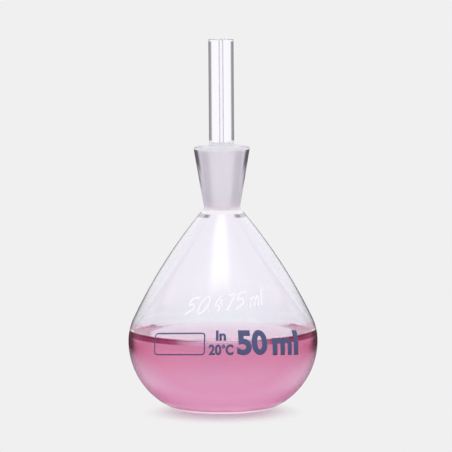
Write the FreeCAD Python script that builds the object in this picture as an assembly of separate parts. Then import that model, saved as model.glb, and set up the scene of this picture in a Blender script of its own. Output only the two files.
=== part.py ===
import FreeCAD, Part
import math
import os

# A density bottle: a blown glass bulb with a funnel neck, closed by a ground stopper
# whose thick tube has a fine hole from end to end, and part filled with a liquid.
# Sizes are in millimetres. The bottle stands at height zero with its axis on Z.

# Bulb
belly_diameter = 49.0       # at the widest ring
belly_height = 17.4         # of the widest ring above the table
upper_belly_radius = 13.8   # outline just above the widest ring
shoulder_radius = 133.0     # outline of the long shoulder up to the neck
heel_radius = 5.4           # outline where the side turns under
standing_diameter = 23.2    # outer edge of the flat ring it stands on
standing_width = 1.6        # of that ring
push_up = 0.6               # rise of the base inside the ring
wall = 1.0                  # glass thickness of the side
base_wall = 1.8             # glass thickness of the base

# Neck
waist_diameter = 9.3        # where the shoulder meets the neck
waist_height = 51.9
waist_rounding = 1.5
neck_length = 15.9          # from the waist to the rim
rim_diameter = 14.7
rim_rounding = 0.35

# Ground joint
joint_diameter = 8.2        # of the socket at the rim
joint_taper = 10.0          # length over which the diameter shrinks by 1
joint_clearance = 0.02      # all round, between the two ground cones
mouth_bevel = 0.25          # on the socket's upper edge

# Stopper
plug_length = 15.9          # from the rim down to the stopper's lower end
plug_sink = 0.8             # of the plug's upper edge below the rim
plug_bevel = 0.3            # on the plug's lower edge
tube_diameter = 6.5
tube_length = 27.7          # from the rim to the top
tube_rounding = 0.25        # on the tube's upper edge
flare_radius = 3.5          # outline where the tube widens into the plug
bore_diameter = 0.8

# Liquid
fill_height = 19.4          # of its flat middle above the table
meniscus_rise = 0.8         # how far it climbs the glass
meniscus_width = 2.2        # from the glass to where it is flat

# Heights and radii that follow from these
belly_radius = belly_diameter / 2
standing_radius = standing_diameter / 2
push_up_radius = standing_radius - standing_width
waist_radius = waist_diameter / 2
rim_radius = rim_diameter / 2
rim_height = waist_height + neck_length
tube_radius = tube_diameter / 2
plug_top = rim_height - plug_sink
plug_bottom = rim_height - plug_length
tube_top = rim_height + tube_length


def point(radius, height):
    return FreeCAD.Vector(radius, 0, height)


def direction(angle):
    return FreeCAD.Vector(math.cos(angle), 0, math.sin(angle))


def angle_of(vector):
    return math.atan2(vector.z, vector.x)


def line(start, end):
    return Part.LineSegment(start, end).toShape()


def arc(centre, radius, start_angle, end_angle):
    middle_angle = (start_angle + end_angle) / 2
    start, middle, end = (centre + direction(angle) * radius
                          for angle in (start_angle, middle_angle, end_angle))
    return Part.Arc(start, middle, end).toShape()


def polyline(points):
    return [line(start, end) for start, end in zip(points, points[1:])]


def turned(edges):
    """The solid that a closed outline sweeps about the axis."""
    face = Part.Face(Part.Wire(Part.__sortEdges__(edges)))
    return face.revolve(FreeCAD.Vector(0, 0, 0), FreeCAD.Vector(0, 0, 1), 360)


def edges_at(solid, radius, height):
    """The solid's round edge of this radius at this height, for rounding off."""
    close = 1e-4
    found = []
    for edge in solid.Edges:
        box = edge.BoundBox
        level = abs(box.ZMin - height) < close and abs(box.ZMax - height) < close
        if level and abs(box.XMax - radius) < close:
            found.append(edge)
    return found


# The bulb's outline is four arcs, each tangent to the next. The same centres serve the
# outside and the inside, except at the heel, where the side thickens into the base.

waist = point(waist_radius, waist_height)
upper_belly_centre = point(belly_radius - upper_belly_radius, belly_height)


def lower_belly():
    """Centre and radius of the arc from the widest ring that runs into the heel's arc."""
    across = belly_radius - standing_radius
    up = belly_height - heel_radius
    radius = (across ** 2 + up ** 2 - heel_radius ** 2) / (2 * (across - heel_radius))
    return point(belly_radius - radius, belly_height), radius


def shoulder():
    """Centre of the arc that runs on from the upper belly's arc and passes the waist."""
    reach = shoulder_radius - upper_belly_radius
    to_waist = waist - upper_belly_centre
    span = to_waist.Length
    along = (reach ** 2 - shoulder_radius ** 2 + span ** 2) / (2 * span)
    aside = math.sqrt(reach ** 2 - along ** 2)
    unit = to_waist / span
    return upper_belly_centre + unit * along + point(-unit.z, unit.x) * aside


lower_belly_centre, lower_belly_radius = lower_belly()
shoulder_centre = shoulder()
shoulder_angle = angle_of(upper_belly_centre - shoulder_centre)


def heel(side_depth, base_depth):
    """Centre and radius of the arc that joins the base to the lower belly, this deep in each."""
    across = standing_radius - lower_belly_centre.x
    up = base_depth - lower_belly_centre.z
    side = lower_belly_radius - side_depth
    radius = (side ** 2 - across ** 2 - up ** 2) / (2 * (up + side))
    return point(standing_radius, base_depth + radius), radius


def base_outline(depth):
    """From the axis to the standing ring's outer edge, this deep in the glass."""
    dome_radius = (push_up_radius ** 2 + push_up ** 2) / (2 * push_up)
    dome_centre = point(0, push_up + depth - dome_radius)
    ring_inside = point(push_up_radius, depth)
    dome = arc(dome_centre, dome_radius, math.pi / 2, angle_of(ring_inside - dome_centre))
    return [dome, line(ring_inside, point(standing_radius, depth))]


def side_outline(depth, base_depth, top_angle):
    """From the standing ring up to top_angle on the shoulder's arc, this deep in the glass."""
    centre, radius = heel(depth, base_depth)
    heel_angle = angle_of(centre - lower_belly_centre)
    return [
        arc(centre, radius, -math.pi / 2, heel_angle),
        arc(lower_belly_centre, lower_belly_radius - depth, heel_angle, 0),
        arc(upper_belly_centre, upper_belly_radius - depth, 0, shoulder_angle),
        arc(shoulder_centre, shoulder_radius - depth, shoulder_angle, top_angle),
    ]


def socket_radius(height):
    return joint_diameter / 2 - (rim_height - height) / (2 * joint_taper)


def socket_bottom():
    """Where the socket's cone breaks out into the bulb's inside."""
    radius = shoulder_radius - wall
    slope = 1 / (2 * joint_taper)
    foot = socket_radius(shoulder_centre.z) - shoulder_centre.x
    half = foot * slope / (1 + slope ** 2)
    rest = (foot ** 2 - radius ** 2) / (1 + slope ** 2)
    height = shoulder_centre.z - half + math.sqrt(half ** 2 - rest)
    return point(socket_radius(height), height)


def hollow():
    """The space inside the bottle: the bulb's inside with the socket above it."""
    bottom = socket_bottom()
    mouth = [
        bottom,
        point(socket_radius(rim_height - mouth_bevel), rim_height - mouth_bevel),
        point(socket_radius(rim_height) + mouth_bevel, rim_height),
        point(0, rim_height),
        point(0, push_up + base_wall),
    ]
    top_angle = angle_of(bottom - shoulder_centre)
    return turned(base_outline(base_wall) + side_outline(wall, base_wall, top_angle) + polyline(mouth))


def bottle():
    neck = [waist, point(rim_radius, rim_height), point(0, rim_height), point(0, push_up)]
    waist_angle = angle_of(waist - shoulder_centre)
    outside = turned(base_outline(0) + side_outline(0, 0, waist_angle) + polyline(neck))
    outside = outside.makeFillet(waist_rounding, edges_at(outside, waist_radius, waist_height))
    outside = outside.makeFillet(rim_rounding, edges_at(outside, rim_radius, rim_height))
    return outside.cut(hollow())


def capillary_stopper():
    plug_radius = socket_radius(plug_top) - joint_clearance
    tip_radius = socket_radius(plug_bottom) - joint_clearance
    bevel_radius = socket_radius(plug_bottom + plug_bevel) - joint_clearance
    widening = plug_radius - tube_radius
    flare_height = math.sqrt(flare_radius ** 2 - (flare_radius - widening) ** 2)
    flare_centre = point(tube_radius + flare_radius, plug_top + flare_height)
    flare_end = angle_of(point(plug_radius, plug_top) - flare_centre)
    below = [
        point(0, plug_bottom),
        point(tip_radius - plug_bevel, plug_bottom),
        point(bevel_radius, plug_bottom + plug_bevel),
        point(plug_radius, plug_top),
    ]
    above = [
        point(tube_radius, plug_top + flare_height),
        point(tube_radius, tube_top),
        point(0, tube_top),
        point(0, plug_bottom),
    ]
    flare = arc(flare_centre, flare_radius, flare_end % (2 * math.pi), math.pi)
    solid = turned(polyline(below) + [flare] + polyline(above))
    solid = solid.makeFillet(tube_rounding, edges_at(solid, tube_radius, tube_top))
    bore = Part.makeCylinder(bore_diameter / 2, tube_top - plug_bottom, point(0, plug_bottom))
    return solid.cut(bore)


def glass_radius(height):
    """Radius of the bulb's inner wall between the heel and the end of the upper belly."""
    centre, radius = upper_belly_centre, upper_belly_radius
    if height < belly_height:
        centre, radius = lower_belly_centre, lower_belly_radius
    return centre.x + math.sqrt((radius - wall) ** 2 - (height - centre.z) ** 2)


def liquid():
    """The hollow up to a surface that is flat in the middle and climbs the glass."""
    contact = glass_radius(fill_height + meniscus_rise)
    flat_radius = contact - meniscus_width
    curve_radius = (meniscus_width ** 2 + meniscus_rise ** 2) / (2 * meniscus_rise)
    curve_centre = point(flat_radius, fill_height + curve_radius)
    contact_angle = angle_of(point(contact, fill_height + meniscus_rise) - curve_centre)
    surface = arc(curve_centre, curve_radius, -math.pi / 2, contact_angle)
    around = [
        point(contact, fill_height + meniscus_rise),
        point(belly_diameter, fill_height + meniscus_rise),
        point(belly_diameter, 0),
        point(0, 0),
        point(0, fill_height),
        point(flat_radius, fill_height),
    ]
    return hollow().common(turned([surface] + polyline(around)))


os.makedirs("parts", exist_ok=True)
for make in (bottle, capillary_stopper, liquid):
    make().exportStep("parts/" + make.__name__ + ".step")
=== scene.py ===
import math
from collections import namedtuple

import bmesh
import bpy
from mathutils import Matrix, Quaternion, Vector


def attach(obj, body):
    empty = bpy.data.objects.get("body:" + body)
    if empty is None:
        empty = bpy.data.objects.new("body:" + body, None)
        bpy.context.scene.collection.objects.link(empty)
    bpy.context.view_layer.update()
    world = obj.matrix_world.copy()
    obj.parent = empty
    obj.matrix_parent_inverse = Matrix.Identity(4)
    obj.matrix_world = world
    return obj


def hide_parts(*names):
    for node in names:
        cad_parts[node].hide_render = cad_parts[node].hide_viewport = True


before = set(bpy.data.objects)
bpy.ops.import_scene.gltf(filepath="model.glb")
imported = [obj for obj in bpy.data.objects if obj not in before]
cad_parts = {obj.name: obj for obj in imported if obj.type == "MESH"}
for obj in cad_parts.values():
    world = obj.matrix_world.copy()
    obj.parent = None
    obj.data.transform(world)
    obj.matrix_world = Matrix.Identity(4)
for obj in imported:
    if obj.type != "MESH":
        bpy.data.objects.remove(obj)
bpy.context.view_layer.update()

# Sizes of the bottle in millimetres, as its solids have them
MM = 0.001
belly_diameter = 49.0       # at the widest ring
belly_height = 17.4         # of the widest ring above the table
upper_belly_radius = 13.8   # outline just above the widest ring
shoulder_radius = 133.0     # outline of the long shoulder up to the neck
heel_radius = 5.4           # outline where the side turns under
standing_diameter = 23.2    # outer edge of the flat ring it stands on
standing_width = 1.6        # of that ring
push_up = 0.6               # rise of the base inside the ring
wall = 1.0                  # glass thickness of the side
base_wall = 1.8             # glass thickness of the base
waist_diameter = 9.3        # where the shoulder meets the neck
waist_height = 51.9
waist_rounding = 1.5
neck_length = 15.9          # from the waist to the rim
rim_diameter = 14.7
rim_rounding = 0.35
joint_diameter = 8.2        # of the socket at the rim
joint_taper = 10.0          # length over which the diameter shrinks by 1
joint_clearance = 0.02      # all round, between the two ground cones
mouth_bevel = 0.25          # on the socket's upper edge
plug_length = 15.9          # from the rim down to the stopper's lower end
plug_sink = 0.8             # of the plug's upper edge below the rim
plug_bevel = 0.3            # on the plug's lower edge
tube_diameter = 6.5
tube_length = 27.7          # from the rim to the top
tube_rounding = 0.25        # on the tube's upper edge
flare_radius = 3.5          # outline where the tube widens into the plug
bore_diameter = 0.8
fill_height = 19.4          # of the liquid's flat middle above the table
meniscus_rise = 0.8         # how far the liquid climbs the glass
meniscus_width = 2.2        # from the glass to where the liquid is flat

# Straight stretches that stand for each curve, or that part a straight line
turns = 256                 # round the axis
base_steps = 12
heel_steps = 10
lower_belly_steps = 40
upper_belly_steps = 20
shoulder_steps = 64
waist_steps = 8
rounding_steps = 6          # of the rim, the tube's upper edge and a corner of the writing field
cone_steps = 12             # of the neck, the socket and the plug
flare_steps = 12
tube_steps = 10
bore_steps = 16
meniscus_steps = 24
level_steps = 8             # of the liquid's flat middle
stroke_steps = 6            # between two points of a stroke written by hand
crease_angle = 25           # degrees; a sharper bend than this shows as an edge
axis_limit = 1e-9           # a smaller radius counts as on the axis

# Sizes that only the looks need
glass_bounces = 40          # times that light may turn at a clear surface
enamel_lift = 0.03          # of the print above the glass, which is set back by as much
enamel_sink = 0.02          # of the print into the glass
liquid_overlap = 0.05       # of the liquid into the glass, so that no air shows between them
contact_room = 0.05         # kept free of points below the liquid's upper edge
surface_margin = 0.01       # within which a place counts as on the liquid's surface
neck_from = 50.6            # height where the neck's own glass starts

# Clear glass and liquid
glass_ior = 1.47
liquid_ior = 1.333
no_bend = 1.0               # of light, where the liquid is in touch with the glass
white = (1.0, 1.0, 1.0, 1.0)
bottle_tint = (0.952, 0.944, 0.974, 1.0)
stopper_tint = (0.97, 0.962, 0.985, 1.0)
ground_tint = (0.92, 0.905, 0.94, 1.0)
ground_roughness = 0.7
wave_scale = 70.0           # slow waves in the blown glass, per metre
wave_detail = 1.0
wave_strength = 0.03
absorption = (0.76, 0.16, 0.49, 1.0)    # the colour that the liquid leaves in the light
absorption_density = 28.5

# Painted colour of glass that has liquid behind it, by how far it turns edge on: the liquid's pink with
# painted shade, round the heel, over the side, higher up, and in the band where the liquid's surface meets
# it
wet_heel = (
    (0.0, white),
    (0.12, white),
    (0.4, (0.96, 0.72, 0.83, 1.0)),
    (0.7, (0.9, 0.36, 0.57, 1.0)),
    (1.0, (0.9, 0.5, 0.7, 1.0)),
)
heel_rise = (5.0, 8.5)      # heights where the heel's tint starts to change, and has changed
wet_low = (
    (0.0, white),
    (0.1, (0.99, 0.95, 0.96, 1.0)),
    (0.3, (0.96, 0.67, 0.76, 1.0)),
    (0.43, (0.97, 0.8, 0.87, 1.0)),
    (0.6, white),
    (1.0, (0.85, 0.75, 0.8, 1.0)),
)
wet_rise = (8.5, 17.5)      # heights where the side's tint starts to change, and has changed
wet_high = (
    (0.0, (0.86, 0.55, 0.6, 1.0)),
    (0.2, (0.85, 0.38, 0.45, 1.0)),
    (0.5, (0.6, 0.13, 0.23, 1.0)),
    (0.62, (0.5, 0.08, 0.16, 1.0)),
    (0.75, (0.4, 0.12, 0.2, 1.0)),
    (1.0, (0.4, 0.25, 0.3, 1.0)),
)
contact_low = (19.0, 19.3)  # heights where the contact band starts, and is full
contact_high = (20.4, 20.7)             # heights where it starts to end, and ends
# painted shade: the dark line where the liquid's surface meets the glass
contact_shade_tint = (
    (0.0, (1.0, 0.97, 0.98, 1.0)),
    (0.05, (0.9, 0.75, 0.83, 1.0)),
    (0.14, (0.33, 0.05, 0.13, 1.0)),
    (0.44, (0.18, 0.012, 0.045, 1.0)),
    (1.0, (0.15, 0.01, 0.04, 1.0)),
)

# Bands of colour laid over the glass where the camera sees it: most are painted light and shade, in place
# of what the liquid and the glass's thickness show. Each has the heights where it starts and is full, the
# heights where it starts to end and ends, the turns where it starts and is full, its share, its colour and
# how it is lit. A turn is 0 where an eye at the same height meets the glass straight, and 1 where it meets
# it edge on
matt_light = "ShaderNodeBsdfDiffuse"
own_light = "ShaderNodeEmission"
Band = namedtuple("Band", "start end turn share colour light", defaults=(matt_light,))
# painted shade: the colour of the dark line laid where clear glass turns edge on
edge_shade_colour = (0.1, 0.1, 0.11, 1.0)     # of the dark line where clear glass turns edge on
least_level = 0.05          # keeps turns within bounds for an eye straight above
everywhere = (-2 / least_level, -1 / least_level)       # turns that every surface has passed
under_all = (-2.0, -1.0)    # heights below the whole bottle, and above it
over_all = (200.0, 201.0)
waist_low = (49.7, 50.0)
waist_high = (50.5, 50.8)
wedge_from = (59.5, 64.5)   # heights over which the neck's painted dark line widens into a painted dark wedge
neck_end = (66.6, 67.2)
rim_from = (67.1, 67.4)
plug_low = (51.0, 51.5)
plug_high = (66.8, 67.2)

# Bands of the clear bulb, in the order that they are laid
# painted pink glow in the glass just above the liquid's surface
surface_glow = Band((20.7, 21.0), (22.4, 23.2), (0.3, 0.45), 0.45, (0.75, 0.42, 0.52, 1.0))
# painted pink light over the bulb above the liquid's surface
surface_pink_glow = Band((20.7, 21.2), (22.5, 26.5), everywhere, 0.14, (0.62, 0.3, 0.45, 1.0))
# painted soft shade where the glass turns edge on
bottle_soft_shade = Band(under_all, over_all, (0.45, 0.8), 0.1, edge_shade_colour)
waist_shade = Band(waist_low, waist_high, (0.24, 0.34), 0.7, edge_shade_colour)
# painted light band at the waist's sides
waist_side_light = Band(waist_low, waist_high, (0.38, 0.48), 0.85, (0.7, 0.67, 0.72, 1.0))
# painted shade: the dark line where the glass turns edge on
bottle_edge_shade = Band(under_all, over_all, (0.75, 0.97), 0.97, edge_shade_colour)
# painted shade over the upper belly's sides
belly_edge_shade = Band((20.7, 21.2), (26.0, 34.0), (0.55, 0.95), 0.5, edge_shade_colour)
bulb_bands = (surface_glow, surface_pink_glow, bottle_soft_shade, waist_shade, waist_side_light, bottle_edge_shade, belly_edge_shade)

# Bands of the bulb where liquid is behind it
# painted pink-grey light over the liquid at the bulb's sides
side_glow = Band((3.5, 5.5), (12.5, 16.0), (0.6, 0.85), 0.4, (0.62, 0.42, 0.52, 1.0))
# painted shade: a dark wine line where the liquid's surface meets the glass
contact_shade = Band(contact_low, contact_high, (0.06, 0.3), 0.5, (0.26, 0.02, 0.07, 1.0))
side_shade = Band((14.5, 17.0), contact_high, (0.55, 0.75), 0.78, (0.05, 0.006, 0.015, 1.0))
# painted dark pink shade round the heel
heel_shade = Band(under_all, (1.2, 2.6), (0.5, 0.8), 0.45, (0.42, 0.11, 0.22, 1.0))
# painted highlight: a bright line along the foot that shines of its own
foot_glow = Band(under_all, (0.6, 0.85), everywhere, 0.95, (1.0, 0.72, 0.88, 1.0), own_light)
wet_bands = (side_glow, contact_shade, side_shade, heel_shade, foot_glow)

# Bands of the neck
# the frosted look of the ground joint behind, painted on the neck's clear outside as pale light
neck_frosted_light = Band((51.4, 51.8), (67.2, 67.4), everywhere, 0.5, (0.78, 0.765, 0.82, 1.0))
# painted pink glow at the neck's foot
neck_pink_glow = Band((51.2, 51.6), (52.2, 55.0), everywhere, 0.25, (0.8, 0.66, 0.74, 1.0))
neck_shade = Band((51.9, 54.0), neck_end, (0.08, 0.22), 0.5, (0.46, 0.45, 0.515, 1.0))
neck_light = Band((55.0, 60.0), neck_end, (0.32, 0.42), 0.5, (0.7, 0.68, 0.76, 1.0))
# painted shade: a dark wedge at the neck's sides under the rim
neck_shade_wedge = Band(wedge_from, rim_from, (0.42, 0.58), 0.95, edge_shade_colour)
# painted shade: the dark line at the neck's sides
neck_shade_line = Band((56.0, 60.0), wedge_from, (0.56, 0.75), 0.8, edge_shade_colour)
# painted pale light over the rim
rim_light = Band(rim_from, (69.0, 70.0), everywhere, 0.65, (0.8, 0.785, 0.835, 1.0))
waist_light = Band((50.7, 51.0), (51.5, 51.9), everywhere, 0.7, (0.95, 0.95, 0.97, 1.0))
neck_bands = (neck_frosted_light, neck_pink_glow, neck_shade, neck_light, neck_shade_wedge, neck_shade_line, rim_light, waist_light)

# Bands of the stopper's tube and plug
# painted shade: dark strips down the tube's sides
tube_shade_strip = Band((69.2, 69.7), (94.9, 95.2), (0.28, 0.46), 0.74, edge_shade_colour)
# painted pale light over the flare
flare_light = Band((66.8, 67.0), (68.6, 69.6), everywhere, 0.65, (0.84, 0.82, 0.865, 1.0))
tube_bands = (tube_shade_strip, flare_light)
plug_frost = Band(plug_low, plug_high, everywhere, 0.45, (0.74, 0.73, 0.79, 1.0))
plug_shade = Band(plug_low, plug_high, (0.15, 0.6), 0.5, (0.4, 0.39, 0.45, 1.0))
plug_bands = (plug_frost, plug_shade)
bore_shade_turn = (0.3, 0.7)      # where the two painted dark lines that the bore shows in the tube start, and are full
bore_shade_share = 0.6

# Print: a word, its weight, and its left, right, low and high edge on the bulb, from the front's middle
print_marks = (
    ("50", 0.042, 3.6, 11.8, 16.85, 23.15),
    ("m", 0.04, 13.3, 19.6, 16.75, 21.2),
    ("l", 0.055, 20.4, 22.2, 16.75, 23.05),
    ("In", 0.04, -1.8, 0.8, 20.55, 23.1),
    ("20", 0.035, -3.65, -0.4, 16.9, 19.65),
    ("°", 0.03, -0.3, 0.55, 18.6, 19.65),
    ("C", 0.045, 0.65, 2.65, 16.9, 19.65),
)
word_weld = 1e-6            # points of a word that are closer than this are joined, before it is fitted
print_step = 0.4            # longest stretch of the print that stays flat
print_weld = 0.0001         # points of the print that are closer than this are joined
print_dip = 3.0             # how far the print would drop where it has gone round to the side
field_edge = (-19.6, -4.6, 16.9, 22.6)  # writing field: left, right, low and high edge
field_line = 0.35
field_rounding = 0.9
enamel_colour = (0.075, 0.095, 0.225, 1.0)
enamel_roughness = 0.45
speckle_scale = 2500.0      # unevenness of matt colours, per metre
speckle_detail = 3.0
dull_share = 0.9            # of a matt colour where it is dullest

# Hand-engraved capacity, which is what this bottle holds
capacity = "50.475 ml"
engraving_from = (-10.3, 26.7)          # where its first stroke starts: right of the front, and height
engraving_rise = 0.1        # per length
engraving_height = 3.9
engraving_slant = 0.3
engraving_line = 0.5
engraving_gap = 0.19        # between signs, per height
engraving_colour = (0.98, 0.97, 1.0, 1.0)
engraving_roughness = 0.8
engraving_light = 0.07      # painted glow of the ground lines, in place of light that they send on from behind

# Strokes of each sign, on a height of 1
signs = {
    "0": [[(0.34, 1.0), (0.04, 0.58), (0.06, 0.12), (0.28, 0.0), (0.6, 0.42), (0.58, 0.88), (0.34, 1.0)]],
    "4": [[(0.36, 1.0), (0.02, 0.38)], [(0.02, 0.38), (0.6, 0.4)], [(0.46, 0.72), (0.4, 0.0)]],
    "5": [[(0.7, 0.98), (0.16, 0.96)], [(0.16, 0.96), (0.1, 0.55), (0.42, 0.6), (0.5, 0.3), (0.06, 0.0)]],
    "7": [[(0.04, 0.92), (0.34, 0.95), (0.58, 0.97), (0.4, 0.5), (0.22, 0.0)]],
    "m": [[(0.04, 0.58), (0.0, 0.0)], [(0.02, 0.3), (0.2, 0.58), (0.34, 0.42), (0.3, 0.0)],
          [(0.33, 0.3), (0.52, 0.58), (0.66, 0.42), (0.62, 0.0)]],
    "l": [[(0.06, 1.1), (0.04, 0.55), (0.06, 0.0)]],
    ".": [[(0.0, 0.02), (0.05, 0.06)]],
    " ": [],
}

# Camera
image_width = 452
axis_column = 222.2         # pixel column of the bottle's axis, half way up the picture
pixel_size = 0.258          # millimetres per pixel at the bottle
focal_pixels = 4390
sensor_width = 36.0
camera_lean = 0.4           # degrees, which lean the bottle to the left
camera_distance = 1127.0
camera_height = 168.0
aim_height = 47.2

# Floor
backdrop = (0.871, 0.871, 0.871, 1.0)   # what the camera sees behind the bottle and of the floor
floor_radius = 300.0
floor_solid = 180.0         # the floor fades into the backdrop from here out
floor_sides = 96
floor_roughness = 0.9
shadow_middle = (0.0, -9.0, 0.0)        # the object's shadow lies round here
shadow_reach = (8.0, 22.0)  # and fades between these distances from it
shadow_tint = (0.84, 0.68, 0.765, 1.0)  # painted pink of the floor that the liquid's shadow colours, given as the floor's own colour
shadow_share = 0.8          # of the shadow that the camera sees
floor_glow = (0.88, 0.92, 0.95, 1.0)    # the floor as clear glass shows it
# painted reflection of the floor as mirrors show it: dark, and bright close under the glass
floor_mirrored = (0.15, 0.15, 0.16, 1.0)
mirror_reach = (14.5, 17.0)             # the floor close under the glass is mirrored bright up to here

# Studio as glass shows it: how bright it is all round, where 1 is white
studio_tint = (1.0, 0.99, 1.02, 1.0)
side_level = 0.7
panel_round = (70, 44)      # degrees round from front or back where the white panels start, and are full
tent_level = 0.6            # overhead
tent_up = (6, 20)           # degrees of height where it starts, and is full
softbox_level = 2.1         # softbox overhead: its place, half width and reach per unit of height
softbox_aside = -0.07
softbox_half = (0.13, 0.42)
softbox_near = (-0.8, -0.6)
softbox_far = (-0.35, -0.2)
least_climb = 0.01          # keeps that unit above zero for light from the side

# Heights and radii that follow from these
belly_radius = belly_diameter / 2
standing_radius = standing_diameter / 2
push_up_radius = standing_radius - standing_width
waist_radius = waist_diameter / 2
rim_radius = rim_diameter / 2
rim_height = waist_height + neck_length
tube_radius = tube_diameter / 2
bore_radius = bore_diameter / 2
plug_top = rim_height - plug_sink
plug_bottom = rim_height - plug_length
tube_top = rim_height + tube_length


# Outlines, as points (radius, height) in millimetres

def arc(centre, radius, start_angle, end_angle, steps):
    angles = [start_angle + (end_angle - start_angle) * i / steps for i in range(steps + 1)]
    return [Vector((centre[0] + radius * math.cos(a), centre[1] + radius * math.sin(a))) for a in angles]


def angle_of(vector):
    return math.atan2(vector[1], vector[0])


def between(start, end, steps):
    """The points that part a straight line into equal stretches, without its ends."""
    return [start.lerp(end, i / steps) for i in range(1, steps)]


def rounded(before, corner, after, radius, steps):
    """Points of an arc that rounds off a corner between two straight lines."""
    to_before = (before - corner).normalized()
    to_after = (after - corner).normalized()
    half = to_before.angle(to_after) / 2
    centre = corner + (to_before + to_after).normalized() * (radius / math.sin(half))
    reach = radius / math.tan(half)
    start = corner + to_before * reach - centre
    end = corner + to_after * reach - centre
    start_angle = angle_of(start)
    turn = (angle_of(end) - start_angle + math.pi) % (2 * math.pi) - math.pi
    return arc(centre, radius, start_angle, start_angle + turn, steps)


waist = Vector((waist_radius, waist_height))
upper_belly_centre = Vector((belly_radius - upper_belly_radius, belly_height))


def lower_belly():
    """Centre and radius of the arc from the widest ring that runs into the heel's arc."""
    across = belly_radius - standing_radius
    up = belly_height - heel_radius
    radius = (across ** 2 + up ** 2 - heel_radius ** 2) / (2 * (across - heel_radius))
    return Vector((belly_radius - radius, belly_height)), radius


def shoulder():
    """Centre of the arc that runs on from the upper belly's arc and passes the waist."""
    reach = shoulder_radius - upper_belly_radius
    to_waist = waist - upper_belly_centre
    span = to_waist.length
    along = (reach ** 2 - shoulder_radius ** 2 + span ** 2) / (2 * span)
    aside = math.sqrt(reach ** 2 - along ** 2)
    unit = to_waist / span
    return upper_belly_centre + unit * along + Vector((-unit.y, unit.x)) * aside


lower_belly_centre, lower_belly_radius = lower_belly()
shoulder_centre = shoulder()
shoulder_angle = angle_of(upper_belly_centre - shoulder_centre)


def base_outline(depth):
    """From the axis to the standing ring's inner edge, this deep in the glass."""
    dome_radius = (push_up_radius ** 2 + push_up ** 2) / (2 * push_up)
    dome_centre = Vector((0, push_up + depth - dome_radius))
    ring_inside = Vector((push_up_radius, depth))
    return arc(dome_centre, dome_radius, math.pi / 2, angle_of(ring_inside - dome_centre), base_steps)


def heel_at(depth, base_depth):
    """Centre and radius of the heel that joins a base and a side these depths in the glass."""
    across = standing_radius - lower_belly_centre.x
    up = base_depth - lower_belly_centre.y
    side = lower_belly_radius - depth
    radius = (side ** 2 - across ** 2 - up ** 2) / (2 * (up + side))
    return Vector((standing_radius, base_depth + radius)), radius


def side_outline(depth, base_depth, top_angle):
    """From the standing ring up to top_angle on the shoulder's arc, this deep in the glass."""
    centre, radius = heel_at(depth, base_depth)
    heel_angle = angle_of(centre - lower_belly_centre)
    heel = arc(centre, radius, -math.pi / 2, heel_angle, heel_steps)
    lower = arc(lower_belly_centre, lower_belly_radius - depth, heel_angle, 0, lower_belly_steps)
    upper = arc(upper_belly_centre, upper_belly_radius - depth, 0, shoulder_angle, upper_belly_steps)
    long_arc = arc(shoulder_centre, shoulder_radius - depth, shoulder_angle, top_angle, shoulder_steps)
    return heel + lower[1:] + upper[1:] + long_arc[1:]


def outline_radius(height, depth=0.0):
    """Radius of the bulb's side at a height above the heel, this deep in the glass."""
    centre, radius = shoulder_centre, shoulder_radius
    if height < belly_height:
        centre, radius = lower_belly_centre, lower_belly_radius
    elif height < upper_belly_centre.y + upper_belly_radius * math.sin(shoulder_angle):
        centre, radius = upper_belly_centre, upper_belly_radius
    return centre.x + math.sqrt((radius - depth) ** 2 - (height - centre.y) ** 2)


def with_height(places, height, depth):
    """An outline of the bulb's side with a point added at a height, this deep in the glass."""
    added = Vector((outline_radius(height, depth), height))
    return sorted(places + [added], key=lambda place: place[1])


contact_height = fill_height + meniscus_rise
contact_radius = outline_radius(contact_height, wall - liquid_overlap)


def socket_radius(height):
    return joint_diameter / 2 - (rim_height - height) / (2 * joint_taper)


def socket_bottom():
    """Where the socket's cone breaks out into the bulb's inside."""
    radius = shoulder_radius - wall
    slope = 1 / (2 * joint_taper)
    foot = socket_radius(shoulder_centre.y) - shoulder_centre.x
    half = foot * slope / (1 + slope ** 2)
    rest = (foot ** 2 - radius ** 2) / (1 + slope ** 2)
    height = shoulder_centre.y - half + math.sqrt(half ** 2 - rest)
    return Vector((socket_radius(height), height))


# Meshes

def new_piece(name, mesh, materials):
    data = bpy.data.meshes.new(name)
    mesh.to_mesh(data)
    mesh.free()
    for material in materials:
        data.materials.append(material)
    piece = bpy.data.objects.new(name, data)
    bpy.context.scene.collection.objects.link(piece)
    return piece


def lathe(name, outline, materials, zone):
    """A closed mesh of an outline turned about Z. zone gives the material of each stretch of it.

    An outline that starts and ends on the axis closes there; any other closes on itself."""
    mesh = bmesh.new()
    rings = []
    for radius, height in outline:
        count = 1 if abs(radius) < axis_limit else turns
        ring = []
        for i in range(count):
            turn = 2 * math.pi * i / turns
            place = Vector((radius * math.cos(turn), radius * math.sin(turn), height)) * MM
            ring.append(mesh.verts.new(place))
        rings.append(ring)
    on_axis = len(rings[0]) == 1
    stretches = len(rings) - 1 if on_axis else len(rings)
    for k in range(stretches):
        low = rings[k]
        high = rings[(k + 1) % len(rings)]
        index = materials.index(zone(k))
        for i in range(turns):
            j = (i + 1) % turns
            corners = [low[i % len(low)], low[j % len(low)], high[j % len(high)], high[i % len(high)]]
            face = mesh.faces.new(list(dict.fromkeys(corners)))
            face.material_index = index
            face.smooth = True
    bmesh.ops.recalc_face_normals(mesh, faces=mesh.faces)
    piece = new_piece(name, mesh, materials)
    piece.data.set_sharp_from_angle(angle=math.radians(crease_angle))
    return piece


# Nodes

def shader(name):
    material = bpy.data.materials.new(name)
    material.use_nodes = True
    return material, material.node_tree, material.node_tree.nodes["Principled BSDF"]


def set_inputs(node, values):
    for key, value in values.items():
        node.inputs[key].default_value = value


def add(tree, kind, values=None, **settings):
    node = tree.nodes.new(kind)
    for key, value in settings.items():
        setattr(node, key, value)
    set_inputs(node, values or {})
    return node


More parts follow.
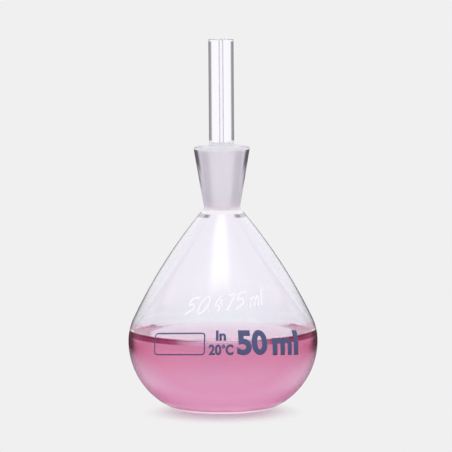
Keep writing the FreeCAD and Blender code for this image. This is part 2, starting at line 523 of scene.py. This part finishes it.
def wire(tree, source, target, socket):
    """Joins an output to an input. A node stands for its first output."""
    output = source if isinstance(source, bpy.types.NodeSocket) else source.outputs[0]
    tree.links.new(output, target.inputs[socket])


def feed(tree, node, *sources):
    """Gives a node's first inputs what they take: each a value, an output or a node."""
    for socket, source in enumerate(sources):
        if isinstance(source, (int, float, tuple)):
            node.inputs[socket].default_value = source
        else:
            wire(tree, source, node, socket)
    return node


def math_node(tree, operation, *values):
    return feed(tree, add(tree, "ShaderNodeMath", operation=operation), *values)


def vector_node(tree, operation, *vectors, output="Vector"):
    return feed(tree, add(tree, "ShaderNodeVectorMath", operation=operation), *vectors).outputs[output]


def mix_shaders(tree, share, first, second):
    return feed(tree, add(tree, "ShaderNodeMixShader"), share, first, second)


def mix_colours(tree, share, first, second):
    return feed(tree, add(tree, "ShaderNodeMixRGB"), share, first, second)


def ramp(tree, source, ends, low, high):
    """A node that goes smoothly from low to high while source goes from one end to the other."""
    node = add(tree, "ShaderNodeMapRange", interpolation_type="SMOOTHSTEP")
    return feed(tree, node, source, *ends, low, high)


def part_of(tree, vector, axis):
    """The X, Y or Z of a vector."""
    return feed(tree, add(tree, "ShaderNodeSeparateXYZ"), vector).outputs[axis]


def level_part(tree, vector):
    """A vector without its height."""
    return vector_node(tree, "MULTIPLY", vector, (1.0, 1.0, 0.0))


def metres(lengths):
    return tuple(length * MM for length in lengths)


def light_path(tree, kind):
    """1 for light of one kind, and 0 for the rest."""
    return add(tree, "ShaderNodeLightPath").outputs[kind]


def place_in_piece(tree):
    return add(tree, "ShaderNodeTexCoord").outputs["Object"]


def height_step(tree, heights):
    """A node that goes from 0 to 1 between two heights."""
    return ramp(tree, part_of(tree, place_in_piece(tree), "Z"), metres(heights), 0.0, 1.0)


def between_heights(tree, start, end):
    """A node that is 1 in a band, which starts over two heights and ends over two others."""
    return math_node(tree, "SUBTRACT", height_step(tree, start), height_step(tree, end))


def met_by_eye(tree, weight):
    """How squarely the eye meets what a Layer Weight node looks at: 0 edge on, 1 straight."""
    return math_node(tree, "SUBTRACT", 1.0, weight.outputs["Facing"])


def turn_from_level(tree):
    """How far the surface turns edge on to an eye at its own height, however high the eye is."""
    upright = add(tree, "ShaderNodeLayerWeight")
    wire(tree, add(tree, "ShaderNodeCombineXYZ", {"Z": 1.0}), upright, "Normal")
    climb = met_by_eye(tree, upright)
    level = math_node(tree, "SUBTRACT", 1.0, math_node(tree, "MULTIPLY", climb, climb))
    level = math_node(tree, "MAXIMUM", math_node(tree, "SQRT", level), least_level)
    squarely = met_by_eye(tree, add(tree, "ShaderNodeLayerWeight"))
    return math_node(tree, "SUBTRACT", 1.0, math_node(tree, "DIVIDE", squarely, level))


def edge_step(tree, turn, share):
    """A node that goes from 0 to share as the surface turns edge on."""
    return ramp(tree, turn_from_level(tree), turn, 0.0, share)


def edge_tint(tree, stops):
    """A colour that goes from stop to stop as the surface turns edge on; each is (turn, colour)."""
    tint = add(tree, "ShaderNodeValToRGB")
    points = tint.color_ramp.elements
    while len(points) < len(stops):
        points.new(0.5)
    for point, (turn, colour) in zip(points, stops):
        point.position = turn
        point.color = colour
    wire(tree, add(tree, "ShaderNodeLayerWeight").outputs["Facing"], tint, 0)
    return tint


# Materials

def make_clear(surface, tint, ior, roughness=0.0):
    set_inputs(surface, {
        "Base Color": tint,
        "Roughness": roughness,
        "IOR": ior,
        "Transmission Weight": 1.0,
    })


def let_light_through(tree, surface):
    """Lets lamps and the sky light what lies behind a clear surface."""
    nothing = add(tree, "ShaderNodeBsdfTransparent")
    mixed = mix_shaders(tree, light_path(tree, "Is Shadow Ray"), surface, nothing)
    wire(tree, mixed, tree.nodes["Material Output"], "Surface")


def lay(tree, surface, band):
    """Lays a band of colour, mostly painted light and shade, over what the camera sees on a clear surface.
    """
    around = between_heights(tree, band.start, band.end)
    share = math_node(tree, "MULTIPLY", around, edge_step(tree, band.turn, band.share))
    direct = math_node(tree, "MULTIPLY", share, light_path(tree, "Is Camera Ray"))
    return mix_shaders(tree, direct, surface, add(tree, band.light, {"Color": band.colour}))


def clear_glass(name, tint, ior, bands=(), roughness=0.0):
    """Clear or ground glass, with bands of colour, most of them painted light and shade, laid over it in
    turn.
    """
    material, tree, surface = shader(name)
    make_clear(surface, tint, ior, roughness)
    seen = surface
    for band in bands:
        seen = lay(tree, seen, band)
    let_light_through(tree, seen)
    return material


def blown_glass():
    """The bottle's clear glass, with slow waves."""
    material = clear_glass("bottle_glass", bottle_tint, glass_ior, bulb_bands)
    tree = material.node_tree
    waves = add(tree, "ShaderNodeTexNoise", {"Scale": wave_scale, "Detail": wave_detail})
    wire(tree, place_in_piece(tree), waves, "Vector")
    bump = add(tree, "ShaderNodeBump", {"Strength": wave_strength, "Distance": MM})
    wire(tree, waves, bump, "Height")
    wire(tree, bump, tree.nodes["Principled BSDF"], "Normal")
    return material


def wet_glass():
    """Glass with liquid behind it, with the liquid's pink and painted shade laid on for the camera,
    most where it turns edge on and round the surface.
    """
    material = clear_glass("wet_glass", white, glass_ior, wet_bands)
    tree = material.node_tree
    tint = edge_tint(tree, wet_heel)
    tint = mix_colours(tree, height_step(tree, heel_rise), tint, edge_tint(tree, wet_low))
    tint = mix_colours(tree, height_step(tree, wet_rise), tint, edge_tint(tree, wet_high))
    contact = between_heights(tree, contact_low, contact_high)
    tint = mix_colours(tree, contact, tint, edge_tint(tree, contact_shade_tint))
    seen = mix_colours(tree, light_path(tree, "Is Camera Ray"), white, tint)
    for socket in ("Base Color", "Specular Tint"):
        wire(tree, seen, tree.nodes["Principled BSDF"], socket)
    return material


def bore_glass():
    """The bore's wall, with painted shade where it is met edge on: the dark lines that the tube around it
    shows.
    """
    material, tree, surface = shader("bore_wall")
    make_clear(surface, stopper_tint, glass_ior)
    dark = add(tree, matt_light, {"Color": edge_shade_colour})
    let_light_through(tree, mix_shaders(tree, edge_step(tree, bore_shade_turn, bore_shade_share), surface, dark))
    return material


def pink_liquid():
    """The liquid, which bends light at its surface but not where glass is in touch with it."""
    material, tree, side = shader("pink_liquid")
    make_clear(side, white, no_bend)
    top = add(tree, "ShaderNodeBsdfPrincipled")
    make_clear(top, white, liquid_ior)
    place = place_in_piece(tree)
    height = part_of(tree, place, "Z")
    radius = vector_node(tree, "LENGTH", level_part(tree, place), output="Value")
    above = math_node(tree, "GREATER_THAN", height, (fill_height - surface_margin) * MM)
    within = math_node(tree, "LESS_THAN", radius, (contact_radius - surface_margin) * MM)
    let_light_through(tree, mix_shaders(tree, math_node(tree, "MULTIPLY", above, within), side, top))
    depth = add(tree, "ShaderNodeVolumeAbsorption", {"Color": absorption, "Density": absorption_density})
    wire(tree, depth, tree.nodes["Material Output"], "Volume")
    return material


def matt(name, colour, roughness, light=0.0):
    """A matt colour, a little uneven as fired enamel and ground lines are, with some painted glow of its
    own.
    """
    material, tree, surface = shader(name)
    speckle = add(tree, "ShaderNodeTexNoise", {"Scale": speckle_scale, "Detail": speckle_detail})
    dull = tuple(value * dull_share for value in colour[:3]) + (1.0,)
    wire(tree, mix_colours(tree, speckle, dull, colour), surface, "Base Color")
    set_inputs(surface, {"Roughness": roughness, "Emission Color": colour, "Emission Strength": light})
    return material


# The three pieces

def make_bottle(clear, ground, wet, wet_inside, neck):
    waist_angle = angle_of(waist - shoulder_centre)
    rim = Vector((rim_radius, rim_height))
    along_shoulder = Vector((math.sin(waist_angle), -math.cos(waist_angle)))
    waist_arc = rounded(waist + along_shoulder, waist, rim, waist_rounding, waist_steps)
    shoulder_end = angle_of(waist_arc[0] - shoulder_centre)
    side = with_height(side_outline(0, 0, shoulder_end)[:-1], contact_high[1], 0)
    rim_arc = rounded(waist, rim, Vector((0, rim_height)), rim_rounding, rounding_steps)
    funnel = between(waist_arc[-1], rim_arc[0], cone_steps)
    outside = base_outline(0) + side + waist_arc + funnel + rim_arc
    outside = [Vector((max(p[0] - enamel_lift, 0), p[1])) for p in outside]
    bottom = socket_bottom()
    mouth = [
        Vector((socket_radius(rim_height) + mouth_bevel, rim_height)),
        Vector((socket_radius(rim_height - mouth_bevel), rim_height - mouth_bevel)),
    ]
    socket = between(mouth[1], bottom, cone_steps)
    inner_side = side_outline(wall, base_wall, angle_of(bottom - shoulder_centre))
    inside = base_outline(base_wall) + with_height(inner_side, contact_height, wall)
    outline = outside + mouth + socket + inside[::-1]
    ground_from = len(outside)
    ground_to = ground_from + len(mouth) + len(socket)

    def zone(k):
        height = outline[k][1]
        if ground_from <= k < ground_to:
            return ground
        if k > ground_to:
            return wet_inside if height <= contact_height else clear
        if height > neck_from:
            return neck
        return wet if height < contact_high[1] else clear

    return lathe("bottle_glass", outline, [clear, ground, wet, wet_inside, neck], zone)


def make_stopper(clear, ground, bore_wall):
    plug_radius = socket_radius(plug_top) - joint_clearance
    tip_radius = socket_radius(plug_bottom) - joint_clearance
    widening = plug_radius - tube_radius
    flare_height = math.sqrt(flare_radius ** 2 - (flare_radius - widening) ** 2)
    flare_centre = Vector((tube_radius + flare_radius, plug_top + flare_height))
    plug_end = Vector((plug_radius, plug_top))
    flare_start = angle_of(plug_end - flare_centre) % (2 * math.pi)
    tip = [
        Vector((bore_radius, plug_bottom)),
        Vector((tip_radius - plug_bevel, plug_bottom)),
        Vector((tip_radius, plug_bottom + plug_bevel)),
    ]
    plug = between(tip[-1], plug_end, cone_steps)
    flare = arc(flare_centre, flare_radius, flare_start, math.pi, flare_steps)
    top = Vector((tube_radius, tube_top))
    top_arc = rounded(flare[-1], top, Vector((0, tube_top)), tube_rounding, rounding_steps)
    tube = between(flare[-1], top_arc[0], tube_steps)
    bore_top = Vector((bore_radius, tube_top))
    bore = [bore_top] + between(bore_top, tip[0], bore_steps)
    outline = tip + plug + flare + tube + top_arc + bore
    ground_to = len(tip) + len(plug) - 1
    bore_from = len(outline) - len(bore)

    def zone(k):
        if k >= bore_from:
            return bore_wall
        return ground if 1 <= k <= ground_to else clear

    return lathe("stopper_glass", outline, [clear, ground, bore_wall], zone)


def make_liquid(pink):
    flat_radius = contact_radius - meniscus_width
    curve_radius = (meniscus_width ** 2 + meniscus_rise ** 2) / (2 * meniscus_rise)
    curve_centre = Vector((flat_radius, fill_height + curve_radius))
    contact_angle = angle_of(Vector((contact_radius, contact_height)) - curve_centre)
    surface = arc(curve_centre, curve_radius, contact_angle, -math.pi / 2, meniscus_steps)
    base_depth = base_wall - liquid_overlap
    side = side_outline(wall - liquid_overlap, base_depth, shoulder_angle)
    side = [p for p in side if p[1] < contact_height - contact_room]
    middle = Vector((0, fill_height))
    flat = between(Vector((flat_radius, fill_height)), middle, level_steps) + [middle]
    outline = base_outline(base_depth) + side + surface + flat
    return lathe("pink_liquid_fill", outline, [pink], lambda k: pink)


# Marks on the bulb

def on_bulb(turn, height, out):
    """A place on the glass, turned to the right from its front by turn, this far out from it."""
    radius = outline_radius(height) - enamel_lift + out
    return Vector((radius * math.sin(turn), -radius * math.cos(turn), height)) * MM


def word(body, weight):
    """A flat mesh of a word, without the slivers that it has where its outline crosses itself."""
    curve = bpy.data.curves.new("word", "FONT")
    curve.body = body
    curve.offset = weight
    holder = bpy.data.objects.new("word", curve)
    bpy.context.scene.collection.objects.link(holder)
    mesh = bmesh.new()
    mesh.from_mesh(holder.evaluated_get(bpy.context.evaluated_depsgraph_get()).to_mesh())
    bpy.data.objects.remove(holder)
    bmesh.ops.remove_doubles(mesh, verts=mesh.verts, dist=word_weld)
    for edge in [edge for edge in mesh.edges if len(edge.link_faces) > 2]:
        mesh.faces.remove(min(edge.link_faces, key=lambda face: face.calc_area()))
    loose = [edge for edge in mesh.edges if not edge.link_faces]
    bmesh.ops.delete(mesh, geom=loose, context="EDGES")
    return mesh


def stretch(mesh, left, right, low, high):
    """Fits a flat mesh to a box."""
    for axis, start, end in ((0, left, right), (1, low, high)):
        values = [v.co[axis] for v in mesh.verts]
        first = min(values)
        scale = (end - start) / (max(values) - first)
        for v in mesh.verts:
            v.co[axis] = start + (v.co[axis] - first) * scale


def lay_on_bulb(name, mesh, material, radius, dip):
    """Turns a flat mesh into a thin closed skin on the glass, where the bulb has this radius."""
    for axis in (0, 1):
        values = [v.co[axis] for v in mesh.verts]
        across = Vector((1 - axis, axis, 0))
        for i in range(1, math.ceil((max(values) - min(values)) / print_step)):
            everything = mesh.verts[:] + mesh.edges[:] + mesh.faces[:]
            place = across * (min(values) + i * print_step)
            bmesh.ops.bisect_plane(mesh, geom=everything, plane_co=place, plane_no=across)
    bmesh.ops.remove_doubles(mesh, verts=mesh.verts, dist=print_weld)
    raised = bmesh.ops.extrude_face_region(mesh, geom=mesh.faces[:])["geom"]
    outer = {part for part in raised if isinstance(part, bmesh.types.BMVert)}
    for v in mesh.verts:
        out = enamel_lift if v in outer else -enamel_sink
        turn = v.co.x / radius
        v.co = on_bulb(turn, v.co.y - dip * (1 - math.cos(turn)), out)
    bmesh.ops.recalc_face_normals(mesh, faces=mesh.faces)
    return new_piece(name, mesh, [material])


def writing_field():
    """The outline of a rounded field."""
    left, right, low, high = field_edge
    mesh = bmesh.new()
    rings = []
    for inset in (0.0, field_line):
        ring = []
        radius = field_rounding - inset
        for k, (x, y) in enumerate(((right, high), (left, high), (left, low), (right, low))):
            centre = (x - math.copysign(field_rounding, x - (left + right) / 2),
                      y - math.copysign(field_rounding, y - (low + high) / 2))
            for place in arc(centre, radius, k * math.pi / 2, (k + 1) * math.pi / 2, rounding_steps):
                ring.append(mesh.verts.new((place[0], place[1], 0)))
        rings.append(ring)
    outer, inner = rings
    for i in range(len(outer)):
        j = (i + 1) % len(outer)
        mesh.faces.new((outer[i], outer[j], inner[j], inner[i]))
    return mesh


def smooth_line(points):
    """Points along a smooth line that passes through the points given."""
    ends = [points[0] * 2 - points[1]] + points + [points[-1] * 2 - points[-2]]
    line = [points[0]]
    for before, start, end, after in zip(ends, ends[1:], ends[2:], ends[3:]):
        for i in range(1, stroke_steps + 1):
            t = i / stroke_steps
            bend = (end - before) * t + (before * 2 - start * 5 + end * 4 - after) * t ** 2
            bend += (start * 3 - before - end * 3 + after) * t ** 3
            line.append(start + bend / 2)
    return line


def strip(mesh, line, width):
    """Adds a flat strip of this width along a line."""
    pairs = []
    for k, place in enumerate(line):
        along = (line[min(k + 1, len(line) - 1)] - line[max(k - 1, 0)]).normalized()
        across = Vector((-along.y, along.x)) * width / 2
        pairs.append([mesh.verts.new((edge.x, edge.y, 0)) for edge in (place + across, place - across)])
    for (first, second), (third, fourth) in zip(pairs, pairs[1:]):
        mesh.faces.new((first, second, fourth, third))


def hand_written(body):
    """Flat strips that spell a number by hand."""
    mesh = bmesh.new()
    left, low = engraving_from
    for sign in body:
        reach = 0.0
        for stroke in signs[sign]:
            reach = max([reach] + [x for x, y in stroke])
            line = []
            for x, y in smooth_line([Vector(place) for place in stroke]):
                u = left + (x + y * engraving_slant) * engraving_height
                rise = (u - engraving_from[0]) * engraving_rise
                line.append(Vector((u, low + y * engraving_height + rise)))
            strip(mesh, line, engraving_line)
        left += (reach + engraving_gap) * engraving_height
    return mesh


def make_marks():
    """The print and the engraving, each a thin skin on the glass."""
    enamel = matt("enamel", enamel_colour, enamel_roughness)
    marks = [lay_on_bulb("writing_field", writing_field(), enamel, belly_radius, print_dip)]
    for count, (body, weight, *box) in enumerate(print_marks):
        flat = word(body, weight)
        stretch(flat, *box)
        marks.append(lay_on_bulb(f"print_{count}", flat, enamel, belly_radius, print_dip))
    engraving = matt("engraving", engraving_colour, engraving_roughness, engraving_light)
    radius = outline_radius(engraving_from[1])
    marks.append(lay_on_bulb("engraved_capacity", hand_written(capacity), engraving, radius, 0.0))
    return marks


# Stage, light and camera

def floor_paper():
    """Paper that keeps the object's shadow, pinked by painted colour, and has a look of its own
    in mirrors and through glass, with a painted reflection bright close under the glass.
    """
    material, tree, surface = shader("floor_paper")
    set_inputs(surface, {
        "Base Color": shadow_tint,
        "Roughness": floor_roughness,
        "Specular IOR Level": 0.0,
    })
    place = add(tree, "ShaderNodeNewGeometry").outputs["Position"]
    far = vector_node(tree, "LENGTH", place, output="Value")
    from_shadow = vector_node(tree, "DISTANCE", place, metres(shadow_middle), output="Value")
    plain = add(tree, "ShaderNodeEmission", {"Color": backdrop})
    bright = add(tree, "ShaderNodeEmission", {"Color": floor_glow})
    dark = add(tree, "ShaderNodeEmission", {"Color": floor_mirrored})
    clear_of_shadow = ramp(tree, from_shadow, metres(shadow_reach), 1 - shadow_share, 1.0)
    direct = math_node(tree, "MULTIPLY", clear_of_shadow, light_path(tree, "Is Camera Ray"))
    seen = mix_shaders(tree, direct, surface, plain)
    mirrored = mix_shaders(tree, ramp(tree, far, metres(mirror_reach), 0.0, 1.0), bright, dark)
    seen = mix_shaders(tree, light_path(tree, "Is Glossy Ray"), seen, mirrored)
    seen = mix_shaders(tree, light_path(tree, "Is Transmission Ray"), seen, bright)
    fade = ramp(tree, far, metres((floor_solid, floor_radius)), 0.0, 1.0)
    faded = mix_shaders(tree, fade, seen, add(tree, "ShaderNodeBsdfTransparent"))
    wire(tree, faded, tree.nodes["Material Output"], "Surface")
    return material


def make_floor():
    bpy.ops.mesh.primitive_circle_add(vertices=floor_sides, radius=floor_radius * MM, fill_type="NGON")
    floor = bpy.context.object
    floor.name = "floor"
    floor.data.materials.append(floor_paper())


def cosines(degrees):
    return [math.cos(math.radians(d)) for d in degrees]


def sines(degrees):
    return [math.sin(math.radians(d)) for d in degrees]


def softbox(tree, way, up):
    """How bright the softbox overhead is in each direction."""
    height = math_node(tree, "MAXIMUM", up, least_climb)
    across = math_node(tree, "DIVIDE", part_of(tree, way, "X"), height)
    along = math_node(tree, "DIVIDE", part_of(tree, way, "Y"), height)
    aside = math_node(tree, "ABSOLUTE", math_node(tree, "SUBTRACT", across, softbox_aside))
    wide = ramp(tree, aside, softbox_half, 1.0, 0.0)
    near = ramp(tree, along, softbox_near, 0.0, 1.0)
    far = ramp(tree, along, softbox_far, 1.0, 0.0)
    patch = math_node(tree, "MULTIPLY", math_node(tree, "MULTIPLY", wide, near), far)
    return math_node(tree, "MULTIPLY", patch, softbox_level)


def studio_level(tree):
    """How bright the studio is in each direction, as glass shows it."""
    way = vector_node(tree, "NORMALIZE", add(tree, "ShaderNodeTexCoord").outputs["Generated"])
    level_way = vector_node(tree, "NORMALIZE", level_part(tree, way))
    back = math_node(tree, "ABSOLUTE", part_of(tree, level_way, "Y"))
    up = part_of(tree, way, "Z")
    panel = ramp(tree, back, cosines(panel_round), side_level, 1.0)
    tent = ramp(tree, up, sines(tent_up), 0.0, tent_level)
    around = math_node(tree, "MAXIMUM", panel, tent)
    return math_node(tree, "ADD", around, softbox(tree, way, up))


def make_world():
    world = bpy.data.worlds.new("studio")
    bpy.context.scene.world = world
    world.use_nodes = True
    tree = world.node_tree
    tree.nodes.clear()
    seen = add(tree, "ShaderNodeBackground", {"Color": backdrop})
    around = add(tree, "ShaderNodeBackground", {"Color": studio_tint})
    wire(tree, studio_level(tree), around, "Strength")
    fill = add(tree, "ShaderNodeBackground", {"Color": white})
    mirrored = light_path(tree, "Is Glossy Ray")
    by_glass = math_node(tree, "MAXIMUM", mirrored, light_path(tree, "Is Transmission Ray"))
    lit = mix_shaders(tree, by_glass, fill, around)
    both = mix_shaders(tree, light_path(tree, "Is Camera Ray"), lit, seen)
    wire(tree, both, add(tree, "ShaderNodeOutputWorld"), "Surface")


def make_camera():
    camera = bpy.data.cameras.new("camera")
    camera.sensor_width = sensor_width
    camera.lens = sensor_width * focal_pixels / image_width
    holder = bpy.data.objects.new("camera", camera)
    side = (image_width / 2 - axis_column) * pixel_size
    place = Vector((side, -camera_distance, camera_height)) * MM
    aim = Vector((side, 0, aim_height)) * MM
    holder.location = place
    level = (aim - place).to_track_quat("-Z", "Y")
    lean = Quaternion((0, 0, 1), math.radians(-camera_lean))
    holder.rotation_euler = (level @ lean).to_euler()
    bpy.context.scene.collection.objects.link(holder)
    bpy.context.scene.camera = holder


ground = clear_glass("ground_glass", ground_tint, glass_ior, roughness=ground_roughness)
wet_inside = clear_glass("wet_inside", white, glass_ior / liquid_ior)
neck = clear_glass("neck_glass", bottle_tint, glass_ior, neck_bands)
bottle = make_bottle(blown_glass(), ground, wet_glass(), wet_inside, neck)
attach(bottle, "bottle")
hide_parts("bottle")

tube = clear_glass("stopper_glass", stopper_tint, glass_ior, tube_bands)
plug = clear_glass("ground_plug", ground_tint, glass_ior, plug_bands, ground_roughness)
stopper = make_stopper(tube, plug, bore_glass())
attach(stopper, "stopper")
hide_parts("capillary_stopper")

liquid = make_liquid(pink_liquid())
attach(liquid, "bottle")
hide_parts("liquid")

for mark in make_marks():
    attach(mark, "bottle")

make_floor()
make_world()
make_camera()
bpy.context.scene.cycles.max_bounces = glass_bounces
bpy.context.scene.cycles.transmission_bounces = glass_bounces
bpy.context.scene.view_settings.view_transform = "Standard"
